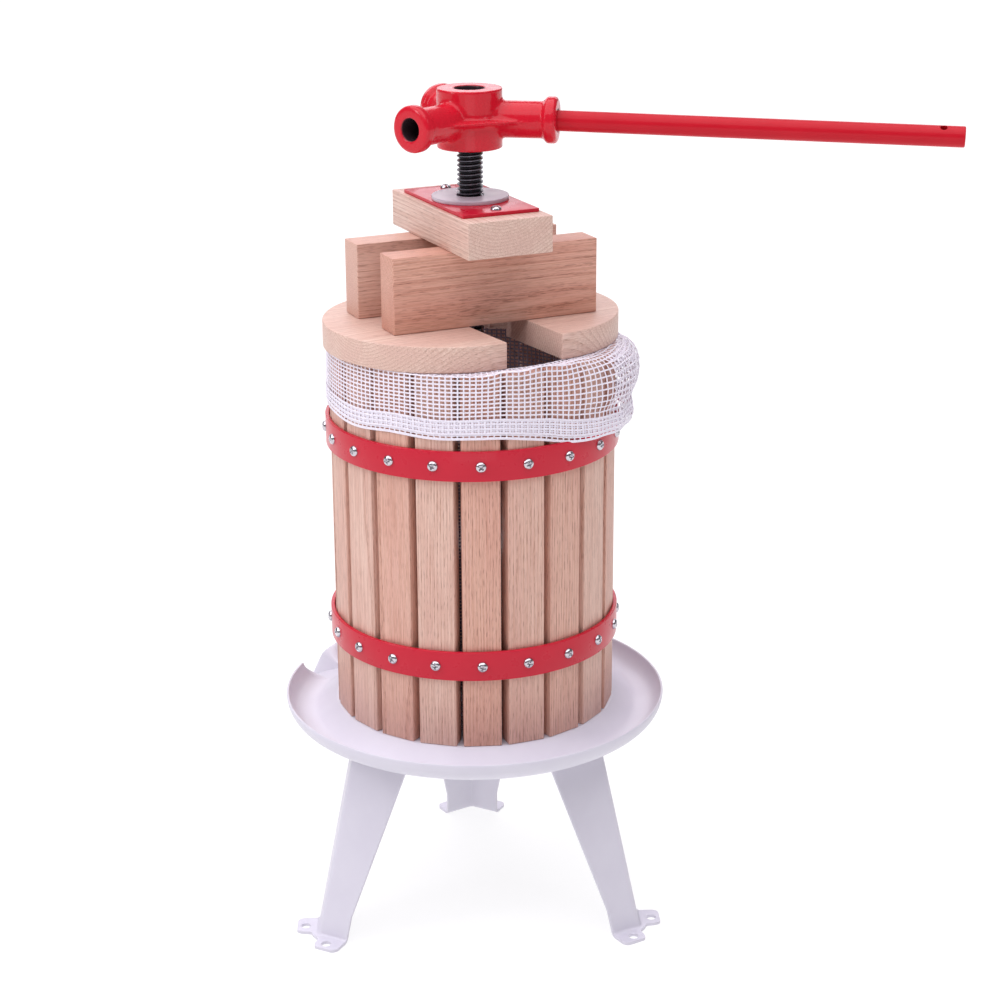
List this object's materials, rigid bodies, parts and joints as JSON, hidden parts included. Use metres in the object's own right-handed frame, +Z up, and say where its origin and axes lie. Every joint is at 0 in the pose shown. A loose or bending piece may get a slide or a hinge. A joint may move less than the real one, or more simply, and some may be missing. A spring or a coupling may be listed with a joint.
{
  "type": "fruit press",
  "caption": "Hand-turned basket press: slatted oak basket with red hoops on a white three-legged spouted tray, screw spindle, pressing boards and a barred hub.",
  "frame": {"origin": "on the floor, under the spindle's axis, at the centre of the circle of foot holes", "axes": "+Z up along the spindle, -Y towards the front, +X to the right as seen from the front"},
  "size_m": [0.6517, 0.3995, 0.8485],
  "materials": {
    "white_coat": "satin powder coat",
    "red_enamel": "gloss enamel",
    "oak": "planed, unfinished",
    "zinc": "bright zinc plate",
    "black_steel": "black oxide, oiled",
    "nylon": "natural nylon",
    "net": "woven polyester net",
    "brass": "turned"
  },
  "bodies": {
    "frame": {"leg_rear": "white_coat", "leg_front_left": "white_coat", "leg_front_right": "white_coat", "drip_tray": "white_coat", "leg_bolts": "zinc", "leg_nuts": "zinc", "spindle": "black_steel", "spindle_nuts": "zinc", "spindle_washers": "zinc"},
    "basket": {"stave_01": "oak", "stave_02": "oak", "stave_03": "oak", "stave_04": "oak", "stave_05": "oak", "stave_06": "oak", "stave_07": "oak", "stave_08": "oak", "stave_09": "oak", "stave_10": "oak", "stave_11": "oak", "stave_12": "oak", "stave_13": "oak", "stave_14": "oak", "stave_15": "oak", "stave_16": "oak", "stave_17": "oak", "stave_18": "oak", "stave_19": "oak", "stave_20": "oak", "hoop_upper": "red_enamel", "hoop_lower": "red_enamel", "hoop_upper_screws": "zinc", "hoop_lower_screws": "zinc", "filter_bag": "net"},
    "disc_left": {"press_disc_left": "oak"},
    "disc_right": {"press_disc_right": "oak"},
    "block_front": {"press_block_front": "oak"},
    "block_rear": {"press_block_rear": "oak"},
    "board": {"pressure_board": "oak", "pressure_plate": "red_enamel", "plate_screws": "zinc", "thrust_washer": "nylon"},
    "bush": {"nut_bush": "brass"},
    "hub": {"hub": "red_enamel"},
    "bar": {"handle_bar": "red_enamel"}
  },
  "joints": [
    {"name": "basket_turn", "type": "hinge", "parent": "frame", "child": "basket", "pos_m": [0, 0, 0.2306], "axis": [0, 0, 1], "continuous": true},
    {"name": "disc_left_slide", "type": "slide", "parent": "basket", "child": "disc_left", "axis": [-0.8788, -0.4772, 0], "range_m": [-0.018, 0.01]},
    {"name": "disc_right_slide", "type": "slide", "parent": "basket", "child": "disc_right", "axis": [0.8788, 0.4772, 0], "range_m": [-0.018, 0.01]},
    {"name": "block_front_slide", "type": "slide", "parent": "basket", "child": "block_front", "axis": [0.9239, 0.3827, 0], "range_m": [-0.03, 0.03]},
    {"name": "block_rear_slide", "type": "slide", "parent": "basket", "child": "block_rear", "axis": [0.9239, 0.3827, 0], "range_m": [-0.03, 0.03]},
    {"name": "board_turn", "type": "hinge", "parent": "basket", "child": "board", "pos_m": [0, 0, 0.7041], "axis": [0, 0, 1], "continuous": true},
    {"name": "screw_travel", "type": "slide", "parent": "frame", "child": "bush", "axis": [0, 0, 1], "range_m": [-0.0453, 0.0251]},
    {"name": "hub_turn", "type": "hinge", "parent": "bush", "child": "hub", "pos_m": [0, 0, 0.8194], "axis": [0, 0, 1], "range_deg": [-3616, 2000]},
    {"name": "bar_pull", "type": "slide", "parent": "hub", "child": "bar", "axis": [0.9781, -0.2079, 0], "range_m": [0, 0.045]}
  ],
  "couplings": [
    {"joint": "screw_travel", "follows": "hub_turn", "m_per_rad": 0.0007162}
  ]
}
